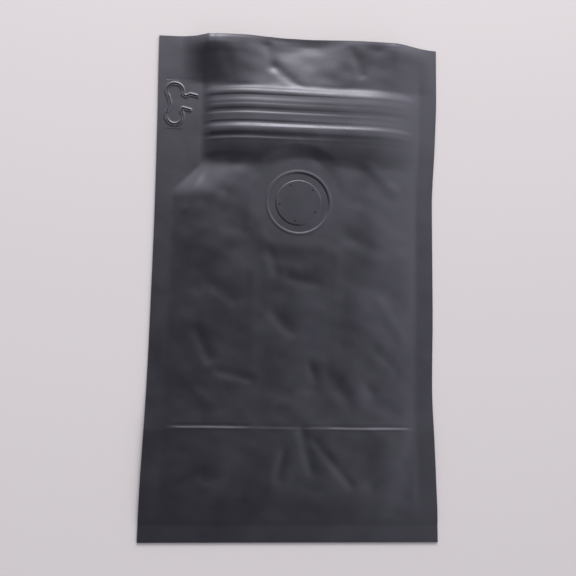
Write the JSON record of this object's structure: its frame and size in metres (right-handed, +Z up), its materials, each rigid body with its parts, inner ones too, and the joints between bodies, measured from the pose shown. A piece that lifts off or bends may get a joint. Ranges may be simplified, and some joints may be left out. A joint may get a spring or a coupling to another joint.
{
  "type": "flat bottom coffee bag",
  "caption": "Empty flat bottom coffee bag lying flat, with side gussets, folded-in bottom, pocket zipper with pull tab and degassing valve.",
  "frame": {"origin": "on the ground under the middle of the bag's bounding box, at the underside of the back panel", "axes": "+X across the bag to the right in the picture, +Y along the bag towards its mouth, +Z up out of the front panel"},
  "size_m": [0.116, 0.2, 0.0071],
  "materials": {
    "front_film": "matte black laminate with a soft, broad sheen",
    "back_film": "matte black laminate with a soft, broad sheen",
    "gusset_film": "matte black laminate outside, the silvery sealing layer inside is guessed",
    "bottom_film": "matte black laminate",
    "zipper": "milky clear extruded polyethylene",
    "valve_plastic": "dark grey moulded polyethylene",
    "valve_rubber": "soft brown rubber, lightly oiled",
    "valve_filter": "off-white filter paper"
  },
  "bodies": {
    "pouch": {"back_panel": "back_film", "front_panel": "front_film", "left_gusset": "gusset_film", "right_gusset": "gusset_film", "bottom_gusset": "bottom_film", "zipper_lower_strip": "zipper", "zipper_upper_strip": "zipper", "valve_body": "valve_plastic", "valve_cap": "valve_plastic", "valve_filter": "valve_filter"},
    "disc": {"valve_disc": "valve_rubber"}
  },
  "joints": [
    {"name": "valve_lift", "type": "slide", "parent": "pouch", "child": "disc", "axis": [0, 0, 1], "range_m": [0, 0.0004]}
  ]
}
